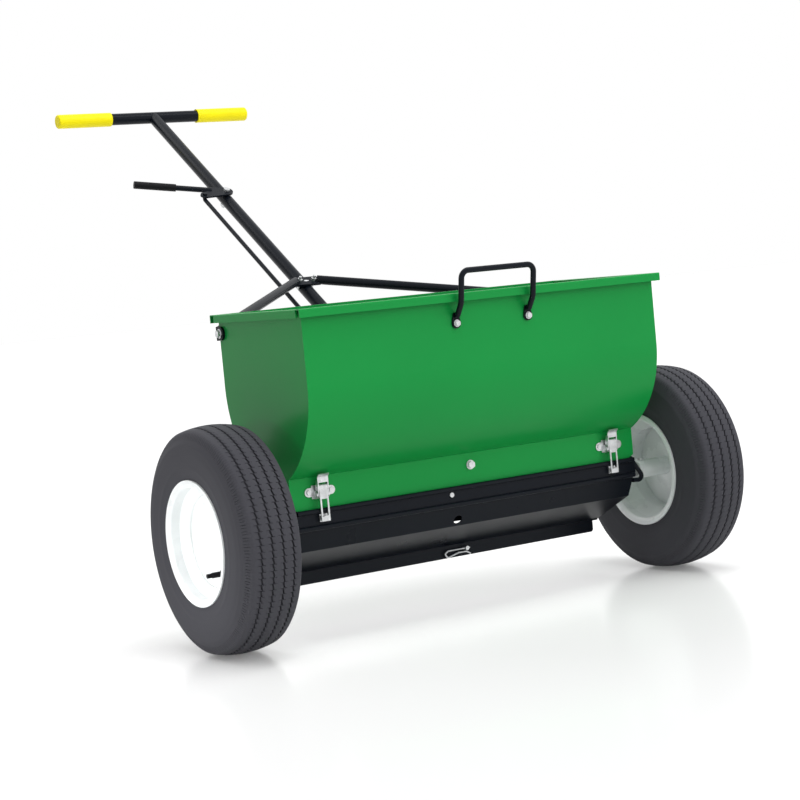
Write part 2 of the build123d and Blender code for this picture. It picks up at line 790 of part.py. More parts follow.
def latch_strap(x):
    """Pull strap with a rolled eye on the link pin and a window over the keeper."""
    eye = (latch_link_y, latch_pivot_z + latch_link)
    eye_r = latch_eye_r
    section = Pos(*eye) * (Circle(eye_r) - Circle(latch_pin_r + running_gap))
    face = eye[0] - eye_r + cheek_gauge / 2
    section += Pos(face, (eye[1] + strap_bottom) / 2) * Rectangle(cheek_gauge, eye[1] - strap_bottom)
    strap = between_x(section, x - strap_half_width, x + strap_half_width)
    window = block((x - 5.6, x + 5.6), (face - 5, face + 5), (strap_bottom + 8, latch_pivot_z - 8))
    return strap - window


def latch_keepers():
    """Plates riveted to the apron's web, with the tongue that the strap pulls on."""
    keepers = []
    y = -web_y
    reach = latch_link_y - latch_eye_r - cheek_gauge
    for x in (-latch_x, latch_x):
        plate = block((x - 8, x + 8), (y, y - 2), (strap_bottom - 1, keeper_z + 4.5))
        tongue = block((x - 5, x + 5), (y, reach - 1), (keeper_z, keeper_z + 2))
        keepers.append(plate + tongue)
    return keepers


def latch_rivets():
    rivets = []
    for x in (-latch_x, latch_x):
        for ear in (-latch_ear_x, latch_ear_x):
            dome = Cylinder(latch_rivet_r, 2.4, align=(Align.CENTER, Align.CENTER, Align.MIN))
            place = (x + ear, -neck_half_depth - cheek_gauge, latch_pivot_z + latch_lift)
            rivets.append(placed(dome, place, (0, -1, 0)))
    return rivets


# Lift handle on the hopper's front

def lift_handle():
    """Bent rod with a pressed foot at each end."""
    face = -hopper_half_depth
    foot_y = face - lift_rod_r
    mid = (foot_y, lift_foot_z + 9)
    knee = (-(rim_y + lift_rod_r + 4.5), lift_foot_z + 36)
    route = [(lift_left, foot_y, lift_foot_z - 4), (lift_left, *mid), (lift_left, *knee),
             (lift_left, lift_top_y, lift_top), (lift_right, lift_top_y, lift_top),
             (lift_right, *knee), (lift_right, *mid), (lift_right, foot_y, lift_foot_z - 4)]
    rod = bent_bar(route, [8, 12, 14, 14, 12, 8], lift_rod_r)
    for x in (lift_left, lift_right):
        seat = block((x - 12, x + 12), (face - 4, face - 14), (lift_foot_z - 14, lift_foot_z + 11))
        rod -= seat
        foot = arm((0, 0), 9, (0, 14), 6)
        rod += placed(extrude(foot, lift_foot_gauge), (x, face, lift_foot_z), (0, -1, 0), (1, 0, 0))
        rod -= bar((x, face + 1, lift_foot_z), (x, face - 9, lift_foot_z), m6 + bolt_gap)
    return rod


def lift_handle_screws():
    screws = []
    for x in (lift_left, lift_right):
        for piece in hex_bolt(m6, lift_foot_gauge + sheet, washer=1.2):
            screws.append(placed(piece, (x, -hopper_half_depth - lift_foot_gauge, lift_foot_z), (0, -1, 0)))
    return screws


# Column, T-bar and brace

def handle_column():
    """Bent tube from the T-bar down to the hopper's neck."""
    foot = (0, *column_foot)
    route = [bar_centre, (0, column_bend_y, column_bend_z), foot]
    outer = bent_bar(route, column_bend_r, column_r)
    inner = bent_bar(route, column_bend_r, column_r - tube_wall)
    tube = outer - inner - bar((-40, bar_y, bar_z), (40, bar_y, bar_z), bar_r)
    tube -= bar(on_column(lever_t, -30), on_column(lever_t, 30), m8 + bolt_gap)
    return tube - bar((-30, *foot_bolt_place()), (30, *foot_bolt_place()), m8 + bolt_gap)


def foot_bolt_place():
    """Y and Z of the bolt through the column's foot."""
    rise = Vector(0, column_bend_y - column_foot[0], column_bend_z - column_foot[1]).normalized()
    point = Vector(0, *column_foot) + rise * foot_bolt_back
    return point.Y, point.Z


def t_bar():
    return ring((-bar_half_length, bar_y, bar_z), (bar_half_length, bar_y, bar_z), bar_r, bar_r - tube_wall)


def grip(side):
    """Vinyl sleeve with a closed, rounded end."""
    sleeve = bar((grip_start, bar_y, bar_z), (grip_half_length, bar_y, bar_z), grip_r)
    sleeve = fillet(sleeve.faces().sort_by(Axis.X)[-1].edges(), 4)
    sleeve -= bar((grip_start - 1, bar_y, bar_z), (bar_half_length, bar_y, bar_z), bar_r)
    return sleeve if side > 0 else mirrored_x(sleeve)


def ubolt_bar(low, high, x, radius):
    """A cylinder on the line of a leg of the U-bolt, between two heights off the column's line."""
    return bar(on_column(brace_joint_t, low, x), on_column(brace_joint_t, high, x), radius)


def brace():
    """Tube bent to a V: a flattened pad on the column and a flattened tongue at each end."""
    pad_lift = column_r + pad_gauge / 2
    pad = Plane(origin=on_column(brace_joint_t, column_r), x_dir=(1, 0, 0), z_dir=out)
    plate = extrude(pad * RectangleRounded(2 * pad_half_length, 2 * pad_half_width, 5), pad_gauge)
    for x in (-column_r - ubolt_r, column_r + ubolt_r):
        plate -= ubolt_bar(0, 3 * column_r, x, ubolt_r + bolt_gap)
    top = on_column(brace_joint_t, pad_lift + 2, brace_spread)
    elbow = Vector(*brace_elbow)
    way = (elbow - top).normalized()
    tongue_x = hopper_half_length + pad_gauge / 2
    neck = Vector(tongue_x, brace_bolt_y + tongue_half_height, brace_bolt_z)
    leg = extrude(Plane(origin=top, z_dir=way) * Circle(brace_r), (elbow - top).length)
    flat = Plane(origin=neck, x_dir=(0, 0, 1), z_dir=(0, -1, 0)) * Ellipse(tongue_half_height, pad_gauge / 2)
    taper = loft([Plane(origin=elbow, x_dir=(0, 0, 1), z_dir=way) * Circle(brace_r), flat])
    outline = arm((brace_bolt_y, brace_bolt_z), tongue_half_height,
                  (brace_bolt_y + tongue_half_height, brace_bolt_z), tongue_half_height)
    outline &= Pos(brace_bolt_y, brace_bolt_z) * Rectangle(2 * tongue_half_height, 4 * tongue_half_height)
    tongue = between_x(outline, hopper_half_length, hopper_half_length + pad_gauge)
    tongue -= bar((hopper_half_length - 5, brace_bolt_y, brace_bolt_z),
                  (hopper_half_length + 10, brace_bolt_y, brace_bolt_z), m8 + bolt_gap)
    side = leg + taper + tongue
    depth = 2 * column_r
    side -= extrude(pad.offset(-depth) * Rectangle(4 * pad_half_length, 8 * pad_half_width), depth)
    leg_x = column_r + ubolt_r
    side -= ubolt_bar(column_r + pad_gauge, 3 * column_r, leg_x, ubolt_nut_r + 2 * bolt_gap)
    side -= ubolt_bar(0, 3 * column_r, leg_x, ubolt_r + bolt_gap)
    return plate + side + mirrored_x(side)


def brace_bolts():
    bolts = []
    for piece in hex_bolt(m8, pad_gauge + sheet, washer=1):
        right = placed(piece, (hopper_half_length + pad_gauge, brace_bolt_y, brace_bolt_z), (1, 0, 0))
        bolts += [right, mirrored_x(right)]
    return bolts


def brace_u_bolt():
    """U-bolt round the column, its nuts on the brace's pad."""
    leg_x = column_r + ubolt_r
    top = column_r + pad_gauge + 11
    legs = [ubolt_bar(0, top, x, ubolt_r) for x in (-leg_x, leg_x)]
    middle = on_column(brace_joint_t)
    wire = Plane(origin=middle, x_dir=(1, 0, 0), z_dir=out) * Pos(leg_x, 0) * Circle(ubolt_r)
    bow = revolve(wire, axis=Axis(middle, down), revolution_arc=180)
    bolt = legs[0] + legs[1] + bow
    nuts = []
    for x in (-leg_x, leg_x):
        nut = extrude(RegularPolygon(ubolt_nut_r, 6), 5) - Cylinder(ubolt_r + bolt_gap / 2, 20)
        nuts.append(placed(nut, on_column(brace_joint_t, column_r + pad_gauge, x), out))
    return [bolt] + nuts


def column_bracket():
    """Welded foot bracket: a plate on the hopper's neck and two cheeks round the column."""
    y0 = neck_half_depth
    y1 = y0 + bracket_plate
    cheek_x = column_r
    plate = block((-bracket_half_width, bracket_half_width), (y0, y1), (bracket_bottom, bracket_top))
    bolt_y, bolt_z = foot_bolt_place()
    cheek = make_face(Polyline((y1, bracket_bottom), (y1, bracket_top), (bolt_y, bracket_top - 6),
                               (bolt_y + 14, bolt_z + 8), (bolt_y + 14, bolt_z - 8), (bolt_y, bracket_bottom),
                               close=True))
    body = plate
    for start in (-cheek_x - bracket_plate, cheek_x):
        body += between_x(cheek, start, start + bracket_plate)
    body -= bar((-30, bolt_y, bolt_z), (30, bolt_y, bolt_z), m8 + bolt_gap)
    return body - bar((0, y0 - 1, neck_bolt_z), (0, y1 + 1, neck_bolt_z), m8 + bolt_gap)


def column_bolt():
    bolt_y, bolt_z = foot_bolt_place()
    start = column_r + bracket_plate
    return [placed(piece, (start, bolt_y, bolt_z), (1, 0, 0)) for piece in hex_bolt(m8, 2 * start)]


def neck_bolt():
    grip_length = 2 * neck_half_depth + bracket_plate
    pieces = hex_bolt(m8, grip_length, washer=1.6)
    return [placed(piece, (0, -neck_half_depth, neck_bolt_z), (0, -1, 0)) for piece in pieces]


def neck_spacer():
    """Tube between the front and rear necks, so that the bolt can't draw them together."""
    half = neck_half_depth - sheet
    return ring((0, -half, neck_bolt_z), (0, half, neck_bolt_z), spacer_r, m8 + bolt_gap)


# Control linkage

def lever_plane(lift):
    """Plane of the lever: X across the machine, Y up the column."""
    return Plane(origin=on_column(lever_t, lift), x_dir=(1, 0, 0), z_dir=out)


def lug_place():
    """The rod's hole in the lever at rest, in the lever's own plane."""
    return (-lug_x, -rod_travel / 2)


def lever_way():
    return Vector(-cos(radians(lever_angle)), sin(radians(lever_angle)), 0)


def control_lever():
    """Plate on the column with a lug for the rod, and a bent-on handle rod."""
    base = column_r + lever_lift
    root = lever_way() * 52
    plate = arm((0, 0), 15, (root.X, root.Y), 8) + arm((0, 0), 15, lug_place(), 10)
    slot_angle = degrees(asin(rod_travel / 2 / hypot(*lug_place())))
    slot = Pos(*lug_place()) * Rot(0, 0, slot_angle) * SlotCenterToCenter(1.6, 2 * (rod_r + crank_slot_gap))
    plate = plate - slot - Circle(m8 + running_gap)
    body = extrude(lever_plane(base) * plate, lever_gauge)
    plane = lever_plane(base + lever_gauge / 2)
    end = plane.from_local_coords(lever_way() * lever_length)
    root_end = plane.from_local_coords(lever_way() * 34)
    handle = bar(root_end, end, lever_rod_r)
    return body + handle


def lever_grip():
    """Black sleeve over the handle's outer end."""
    plane = lever_plane(column_r + lever_lift + lever_gauge / 2)
    start = plane.from_local_coords(lever_way() * (lever_length - lever_grip_length))
    end = plane.from_local_coords(lever_way() * (lever_length + 2.5))
    rod_end = plane.from_local_coords(lever_way() * lever_length)
    sleeve = bar(start, end, lever_grip_r)
    return sleeve - bar(start, rod_end, lever_rod_r)


def lever_bolt():
    """Pivot bolt through the column, with a shoulder under the lever."""
    top = column_r + lever_lift + lever_gauge + crank_slot_gap
    head = extrude(RegularPolygon(7.2, 6), 5)
    bolt = placed(head, on_column(lever_t, top), out)
    bolt += bar(on_column(lever_t, -column_r - 9), on_column(lever_t, top), m8)
    bolt += bar(on_column(lever_t, column_r + 0.2), on_column(lever_t, column_r + lever_lift - 0.3), m8 + 3)
    nut = extrude(RegularPolygon(7.2, 6), 5.5) - Cylinder(m8 + bolt_gap / 2, 20)
    return [bolt, placed(nut, on_column(lever_t, -column_r - 5.6), out)]


def control_rod():
    """Rod from the lever's lug to the crank: a pin up at the top, a pin down at the bottom."""
    lug_t = lever_t + rod_travel / 2
    top = on_column(lug_t, column_r + lever_lift + lever_gauge + 4, rod_x)
    corner = on_column(lug_t, rod_offset, rod_x)
    bend = on_column(rod_bend_t, rod_offset, rod_x)
    knee = (rod_x, rod_pin_y, crank_z + rod_knee_rise)
    bottom = (rod_x, rod_pin_y, rod_bottom)
    return bent_bar([top, corner, bend, knee, bottom], [7, 40, 25], rod_r)


def bell_crank():
    """Flat crank turning on an upright bolt: slots for the shutter's pin and the rod's pin."""
    turn = Rot(0, 0, crank_half_turn)
    reach = slide_arm / cos(radians(crank_half_turn))
    rod_reach = rod_arm / cos(radians(crank_half_turn))
    outline = arm((0, 0), 12, (0, -reach), 8.5) + arm((0, 0), 12, (-rod_reach, 0), 9)
    slide_slot = Pos(0, -(slide_arm + reach) / 2) * Rot(0, 0, 90) * SlotCenterToCenter(
        reach - slide_arm + 0.6, 2 * (slide_pin_r + crank_slot_gap))
    rod_slot = Pos(-(rod_arm + rod_reach) / 2, 0) * SlotCenterToCenter(
        rod_reach - rod_arm + 0.6, 2 * (rod_r + crank_slot_gap))
    flat = turn * (outline - slide_slot - rod_slot)
    plate = extrude(flat, crank_gauge)
    height = crank_boss_drop + crank_gauge + crank_boss
    boss = Cylinder(crank_boss_r, height, align=(Align.CENTER, Align.CENTER, Align.MIN))
    boss = Pos(0, 0, -crank_boss_drop) * boss
    crank = plate + boss - Cylinder(m8 + running_gap, 60)
    return Pos(crank_x, crank_y, crank_z) * crank


def crank_bracket():
    """Angle bracket on the pan's rear wall: flange, shelf and a gusset at its left end."""
    y0 = pan_inner + sheet
    x = (crank_x - shelf_half_width, crank_x + shelf_half_width)
    flange = block(x, (y0, y0 + shelf_gauge), (shelf_z, pan_top - pan_bead_r - 0.5))
    shelf = block(x, (y0, crank_y + 13), (shelf_z, shelf_z + shelf_gauge))
    gusset = make_face(Polyline((y0, shelf_z), (crank_y - 10, shelf_z + shelf_gauge),
                                (y0 + shelf_gauge, pan_top - pan_bead_r - 2), (y0, pan_top - pan_bead_r - 2),
                                close=True))
    body = flange + shelf
    for start in (x[0], x[1] - shelf_gauge):
        body += between_x(gusset, start, start + shelf_gauge)
    return body - bar((crank_x, crank_y, shelf_z - 5), (crank_x, crank_y, shelf_z + 10), m8 + bolt_gap)


def crank_bolt():
    """Bolt that hangs the crank under the shelf."""
    top = shelf_z + shelf_gauge
    low = crank_z - crank_boss_drop - crank_slot_gap
    bolt = placed(extrude(RegularPolygon(7.2, 6), 5.3), (crank_x, crank_y, top), (0, 0, 1))
    bolt += bar((crank_x, crank_y, low - 7), (crank_x, crank_y, top), m8)
    nut = extrude(RegularPolygon(7.2, 6), 5.5) - Cylinder(m8 + bolt_gap / 2, 20)
    return [bolt, Pos(crank_x, crank_y, low - 5.5) * nut]


# Small rods

def end_guard(side):
    """Bent rod on the trough's end, welded at both feet."""
    x = trough_half_length + end_plate + guard_r
    y = sheet + guard_r - (web_y - sheet)
    top = (x, y, joggle_bottom - 4)
    low = (x, y, web_bottom - 12)
    tip = (trough_half_length + guard_reach, y, web_bottom - 14)
    rod = bent_bar([top, tip, low], 8, guard_r)
    rod += bar((x, top[1], top[2] + 2), (x, top[1] + 14, top[2] + 2), guard_r)
    return rod if side > 0 else mirrored_x(rod)


def apron_stud():
    """Headed stud through the apron's rear lip, with a cross hole for the clip."""
    y = apron_rear[0]
    stud = bar((stud_x, y - 12, stud_z), (stud_x, y + 6, stud_z), stud_r)
    stud += bar((stud_x, y + 1, stud_z), (stud_x, y + 5, stud_z), stud_r + 3)
    return stud - bar((stud_x - 10, y - 7, stud_z), (stud_x + 10, y - 7, stud_z), clip_wire_r + 0.1)


def apron_clip():
    """R-shaped spring clip whose straight leg passes through the stud."""
    y = apron_rear[0] - 7
    eye_x = stud_x - 50
    route = [(stud_x + 8, y, stud_z), (eye_x + 8, y, stud_z), (eye_x, y, stud_z - 5),
             (eye_x + 6, y, stud_z - 13), (stud_x - 18, y, stud_z - 6.4),
             (stud_x, y, stud_z - 6.6), (stud_x + 9, y, stud_z - 12)]
    return bent_bar(route, 2.6, clip_wire_r)


def main():
    os.makedirs("parts", exist_ok=True)
    write("axle", axle())
    write("rotor", rotor())
    write("drive_pin", drive_pin())
    write("right_rim", right_rim())
    write("right_tyre", on_axle(tyre(), 1))
    write("right_valve", on_axle(valve(), 1))
    write("left_rim", left_rim())
    write("left_tyre", on_axle(tyre(), -1))
    write("left_valve", on_axle(valve(), -1))
    write("left_axle_screw", left_axle_screw())
    write("hopper_front", hopper_front())
    write("hopper_rear", hopper_sheet())
    write("hopper_end_right", hopper_end(1))
    write("hopper_end_left", hopper_end(-1))
    write("lift_handle", lift_handle())
    write("lift_handle_screws", lift_handle_screws())
    write("metering_pan", metering_pan())
    write("front_apron", front_apron())
    write("trough_end_right", trough_end(1))
    write("trough_end_left", trough_end(-1))
    write("axle_bushes", [axle_bush(), mirrored_x(axle_bush())])
    write("bush_bolts", bush_bolts())
    write("shutter_slide", shutter_slide())
    write("slide_pin", slide_pin())
    write("slide_guides", slide_guides())
    write("rear_hooks", rear_hooks())
    write("apron_rivet", apron_rivet())
    write("latch_rivets", latch_rivets())
    write("latch_pivot_pins", latch_pivot_pins())
    write("latch_keepers", latch_keepers())
    for name, x in (("left", -latch_x), ("right", latch_x)):
        write(f"latch_base_{name}", latch_base(x))
        write(f"latch_lever_{name}", latch_lever(x))
        write(f"latch_strap_{name}", latch_strap(x))
        write(f"latch_link_pin_{name}", latch_link_pin(x))
    write("handle_column", handle_column())
    write("t_bar", t_bar())
    write("grip_right", grip(1))
    write("grip_left", grip(-1))
    write("brace", brace())
    write("brace_bolts", brace_bolts())
    write("brace_u_bolt", brace_u_bolt())
    write("column_bracket", column_bracket())
    write("column_bolt", column_bolt())
    write("neck_bolt", neck_bolt())
    write("neck_spacer", neck_spacer())
    write("control_lever", control_lever())
    write("lever_grip", lever_grip())
    write("lever_bolt", lever_bolt())
    write("control_rod", control_rod())
    write("bell_crank", bell_crank())
    write("crank_bracket", crank_bracket())
    write("crank_bolt", crank_bolt())
    write("end_guard_right", end_guard(1))
    write("end_guard_left", end_guard(-1))
    write("apron_stud", apron_stud())
    write("apron_clip", apron_clip())


if __name__ == "__main__":
    main()
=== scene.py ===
import json
from math import atan2, cos, pi, radians, sin

import bmesh
import bpy
import numpy as np
from bpy.props import FloatProperty, FloatVectorProperty, IntProperty, PointerProperty
from bpy.types import Operator, Panel, PropertyGroup
from mathutils import Matrix, Vector


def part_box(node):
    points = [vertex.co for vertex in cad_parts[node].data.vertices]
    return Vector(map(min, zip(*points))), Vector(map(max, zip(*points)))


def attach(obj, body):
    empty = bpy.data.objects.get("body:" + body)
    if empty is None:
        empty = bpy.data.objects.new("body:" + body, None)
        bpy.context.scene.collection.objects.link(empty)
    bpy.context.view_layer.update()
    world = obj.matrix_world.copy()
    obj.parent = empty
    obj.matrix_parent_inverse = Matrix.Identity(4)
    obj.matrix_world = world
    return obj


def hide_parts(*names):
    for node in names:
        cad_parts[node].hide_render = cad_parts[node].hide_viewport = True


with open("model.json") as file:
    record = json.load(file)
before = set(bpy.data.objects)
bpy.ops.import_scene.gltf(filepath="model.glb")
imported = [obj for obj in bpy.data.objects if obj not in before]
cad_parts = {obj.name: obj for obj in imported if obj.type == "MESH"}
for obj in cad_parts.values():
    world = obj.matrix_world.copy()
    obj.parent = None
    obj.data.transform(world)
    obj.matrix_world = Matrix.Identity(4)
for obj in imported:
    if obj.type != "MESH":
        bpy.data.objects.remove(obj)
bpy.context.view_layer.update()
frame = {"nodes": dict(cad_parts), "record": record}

bl_info = {
    "name": "Drop Seeder Dresser",
    "version": (1, 0, 0),
    "blender": (4, 5, 0),
    "location": "3D View > Sidebar > Seeder",
    "description": "Dresses the walk-behind drop seeder with its finishes, tyres and stage",
    "category": "Object",
}

# Everything is in metres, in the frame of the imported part.
NODES = frame["nodes"]
CREASE_ANGLE = radians(40)


def middle(node, axis):
    """Middle of a node's box along one axis."""
    low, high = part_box(node)
    return (low[axis] + high[axis]) / 2


def reach(node, axis):
    """Length of a node's box along one axis."""
    low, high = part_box(node)
    return high[axis] - low[axis]


AXLE_Y = middle("left_tyre", 1)
AXLE_Z = middle("left_tyre", 2)
TYRE_R = reach("left_tyre", 2) / 2


# Sizes and colours that a user would change

class SeederFinish(PropertyGroup):
    """Colours of the machine's finishes, as linear colour."""
    green: FloatVectorProperty(name="Hopper green", description="Enamel on the hopper sheets",
                               subtype="COLOR", min=0, max=1, default=(0.0055, 0.235, 0.043))
    black: FloatVectorProperty(name="Frame black", description="Coat on the frame and trough",
                               subtype="COLOR", min=0, max=1, default=(0.0042, 0.0058, 0.0092))
    white: FloatVectorProperty(name="Rim white", description="Enamel on the wheel rims",
                               subtype="COLOR", min=0, max=1, default=(0.87, 0.9, 0.9))
    rubber: FloatVectorProperty(name="Tyre rubber", description="Rubber of the tyres",
                                subtype="COLOR", min=0, max=1, default=(0.0082, 0.0096, 0.0138))
    yellow: FloatVectorProperty(name="Grip yellow", description="Dipped vinyl of the bar grips",
                                subtype="COLOR", min=0, max=1, default=(0.8, 0.69, 0.002))
    zinc: FloatVectorProperty(name="Zinc", description="Plate on latches, bolts and clips",
                              subtype="COLOR", min=0, max=1, default=(0.66, 0.67, 0.68))


class SeederTyre(PropertyGroup):
    """The tread that is cut into the tyres."""
    pitches: IntProperty(name="Tread pitches", description="Saw teeth round the tyre",
                         min=24, max=200, default=110)
    groove: FloatProperty(name="Groove width", description="Width of a groove between ribs",
                          subtype="DISTANCE", min=0.001, max=0.01, default=0.0036)
    depth: FloatProperty(name="Groove depth", description="Depth of the grooves",
                         subtype="DISTANCE", min=0.001, max=0.006, default=0.0036)
    spacing: FloatProperty(name="Groove spacing", description="Distance between grooves",
                           subtype="DISTANCE", min=0.01, max=0.03, default=0.0205)
    tooth: FloatProperty(name="Tooth", description="How far a saw tooth stands into the groove",
                         subtype="DISTANCE", min=0.0, max=0.004, default=0.0013)


class SeederStage(PropertyGroup):
    """Camera, floor and lamps."""
    eye: FloatVectorProperty(name="Camera place", description="Where the camera stands",
                             subtype="TRANSLATION", default=(-2.0352, -3.6142, 0.6407))
    yaw: FloatProperty(name="Yaw", description="Turn of the view from +Y toward +X",
                       subtype="ANGLE", default=radians(31.65))
    pitch: FloatProperty(name="Pitch", description="How far the view looks down",
                         subtype="ANGLE", default=radians(3.67))
    roll: FloatProperty(name="Roll", description="Tilt of the picture",
                        subtype="ANGLE", default=radians(-5.37))
    focal: FloatProperty(name="Focal length", description="Lens of the camera in millimetres",
                         unit="CAMERA", min=20, max=300, default=89.37)
    floor: FloatVectorProperty(name="Floor", description="Colour of the floor",
                               subtype="COLOR", min=0, max=1, default=(0.8, 0.8, 0.8))
    top: FloatProperty(name="Top light", description="Strength of the soft light from above",
                       min=0, max=20, default=1.75)
    front: FloatProperty(name="Front light", description="Strength of the soft light from the front",
                         min=0, max=20, default=1.9)
    lamp: FloatProperty(name="Back lamp", description="Power of the lamp behind; the one above has half",
                        unit="POWER", min=0, max=2000, default=35)
    wheel_lamp: FloatProperty(name="Wheel lamp", description="Power of the narrow lamp on the near wheel",
                              unit="POWER", min=0, max=2000, default=0.25)


GROUPS = (("seeder_finish", SeederFinish), ("seeder_tyre", SeederTyre), ("seeder_stage", SeederStage))


# Mesh helpers

def link(name, mesh):
    piece = bpy.data.objects.new(name, mesh)
    bpy.context.scene.collection.objects.link(piece)
    return piece


def shade_smooth(mesh):
    """Smooth faces, with a crease wherever two faces meet at more than the crease angle."""
    mesh.shade_smooth()
    bm = bmesh.new()
    bm.from_mesh(mesh)
    for edge in bm.edges:
        edge.smooth = len(edge.link_faces) != 2 or edge.calc_face_angle(0) < CREASE_ANGLE
    bm.to_mesh(mesh)
    bm.free()


def grid_mesh(name, points):
    """Mesh from a rows by columns grid of points, closed both ways."""
    rows, columns = points.shape[:2]
    index = np.arange(rows * columns).reshape(rows, columns)
    beside = np.roll(index, -1, 1)
    below = np.roll(index, -1, 0)
    faces = np.stack([index, beside, np.roll(beside, -1, 0), below], -1)
    mesh = bpy.data.meshes.new(name)
    mesh.from_pydata(points.reshape(-1, 3).tolist(), [], faces.reshape(-1, 4).tolist())
    mesh.update()
    return mesh


def outward(mesh):
    """Turn every face outward."""
    bm = bmesh.new()
    bm.from_mesh(mesh)
    bmesh.ops.recalc_face_normals(bm, faces=bm.faces)
    bm.to_mesh(mesh)
    bm.free()


# Material helpers

class Finish:
    """A node material under construction."""

    def __init__(self, name, colour, roughness, metallic=0.0, shine=0.2):
        self.material = bpy.data.materials.new(name)
        self.material.use_nodes = True
        self.tree = self.material.node_tree
        self.shader = self.tree.nodes["Principled BSDF"]
        self.shader.inputs["Metallic"].default_value = metallic
        self.shader.inputs["Specular IOR Level"].default_value = 0.5 if metallic else shine
        self.colour = tuple(colour[:3])
        self.set("Base Color", (*self.colour, 1))
        self.set("Roughness", roughness)
        self.place = self.add("ShaderNodeTexCoord").outputs["Object"]
        self.material.diffuse_color = (*self.colour, 1)

    def add(self, kind, **values):
        node = self.tree.nodes.new(kind)
        for key, value in values.items():
            setattr(node, key, value)
        return node

    def join(self, out, into):
        self.tree.links.new(out, into)

    def set(self, socket, value):
        self.shader.inputs[socket].default_value = value

    def noise(self, scale, detail=4.0, stretch=None):
        """Noise in the object's own space; scale is in features per metre."""
        node = self.add("ShaderNodeTexNoise")
        node.inputs["Scale"].default_value = scale
        node.inputs["Detail"].default_value = detail
        place = self.place
        if stretch:
            mapping = self.add("ShaderNodeMapping")
            mapping.inputs["Scale"].default_value = stretch
            self.join(place, mapping.inputs["Vector"])
            place = mapping.outputs["Vector"]
        self.join(place, node.inputs["Vector"])
        return node.outputs["Fac"]

    def ramp(self, value, low, high, from_low=0.3, from_high=0.7):
        """Remap a value between two limits."""
        node = self.add("ShaderNodeMapRange")
        node.inputs["From Min"].default_value = from_low
        node.inputs["From Max"].default_value = from_high
        node.inputs["To Min"].default_value = low
        node.inputs["To Max"].default_value = high
        self.join(value, node.inputs["Value"])
        return node.outputs["Result"]

    def mix(self, factor, first, second):
        """Mix two colours, each a colour value or a socket."""
        node = self.add("ShaderNodeMix", data_type="RGBA")
        self.join(factor, node.inputs["Factor"])
        for value, socket in ((first, node.inputs["A"]), (second, node.inputs["B"])):
            if isinstance(value, (tuple, list)):
                socket.default_value = (*value[:3], 1)
            else:
                self.join(value, socket)
        return node.outputs["Result"]

    def vary_roughness(self, scale, low, high, stretch=None):
        spread = self.ramp(self.noise(scale, 5.0, stretch), low, high)
        self.join(spread, self.shader.inputs["Roughness"])

    def bump(self, height, distance, strength=1.0):
        node = self.add("ShaderNodeBump")
        node.inputs["Strength"].default_value = strength
        node.inputs["Distance"].default_value = distance
        self.join(height, node.inputs["Height"])
        previous = self.shader.inputs["Normal"].links
        if previous:
            self.join(previous[0].from_socket, node.inputs["Normal"])
        self.join(node.outputs["Normal"], self.shader.inputs["Normal"])

    def edge_wear(self, width=0.0012):
        """1 along the outer edges of the surface, broken up by noise."""
        rounded = self.add("ShaderNodeBevel", samples=4)
        rounded.inputs["Radius"].default_value = width
        geometry = self.add("ShaderNodeNewGeometry")
        facing = self.add("ShaderNodeVectorMath", operation="DOT_PRODUCT")
        self.join(rounded.outputs["Normal"], facing.inputs[0])
        self.join(geometry.outputs["Normal"], facing.inputs[1])
        edge = self.ramp(facing.outputs["Value"], 1.0, 0.0, 0.86, 0.985)
        broken = self.ramp(self.noise(120.0, 5.0), 0.0, 1.0, 0.48, 0.66)
        both = self.add("ShaderNodeMath", operation="MULTIPLY")
        self.join(edge, both.inputs[0])
        self.join(broken, both.inputs[1])
        return both.outputs["Value"]


def shade(colour, factor):
    return tuple(min(1.0, c * factor) for c in colour)


def green_enamel(colours):
    """Gloss enamel over sheet metal: faint orange peel, slight waves in the sheet, worn edges."""
    finish = Finish("green_enamel", colours.green, 0.28, shine=0.14)
    tint = finish.ramp(finish.noise(3.0, 2.0), 0.0, 1.0)
    colour = finish.mix(tint, shade(colours.green, 0.96), shade(colours.green, 1.04))
    colour = finish.mix(finish.edge_wear(), colour, shade(colours.green, 1.4))
    finish.join(colour, finish.shader.inputs["Base Color"])
    finish.vary_roughness(9.0, 0.28, 0.33)
    finish.bump(finish.noise(350.0, 1.0), 0.00002, 0.3)
    finish.bump(finish.noise(4.0, 1.0, (1.0, 1.0, 2.0)), 0.0012, 0.5)
    return finish.material


def black_coat(colours):
    """Gloss black powder coat with a fine texture and greyed edges."""
    finish = Finish("black_coat", colours.black, 0.3, shine=0.12)
    tint = finish.ramp(finish.noise(6.0, 3.0), 0.0, 1.0)
    colour = finish.mix(tint, shade(colours.black, 0.93), shade(colours.black, 1.08))
    colour = finish.mix(finish.edge_wear(), colour, (0.06, 0.064, 0.07))
    finish.join(colour, finish.shader.inputs["Base Color"])
    finish.vary_roughness(12.0, 0.27, 0.33)
    finish.bump(finish.noise(350.0, 1.0), 0.00002, 0.3)
    return finish.material


def rim_enamel(colours):
    """White enamel on the rims, its tone varied slightly by noise."""
    finish = Finish("rim_enamel", colours.white, 0.28, shine=0.5)
    tint = finish.ramp(finish.noise(18.0, 4.0), 0.0, 1.0)
    colour = finish.mix(tint, shade(colours.white, 0.95), shade(colours.white, 1.02))
    finish.join(colour, finish.shader.inputs["Base Color"])
    finish.vary_roughness(15.0, 0.25, 0.32)
    finish.bump(finish.noise(700.0, 2.0), 0.00005, 0.4)
    return finish.material


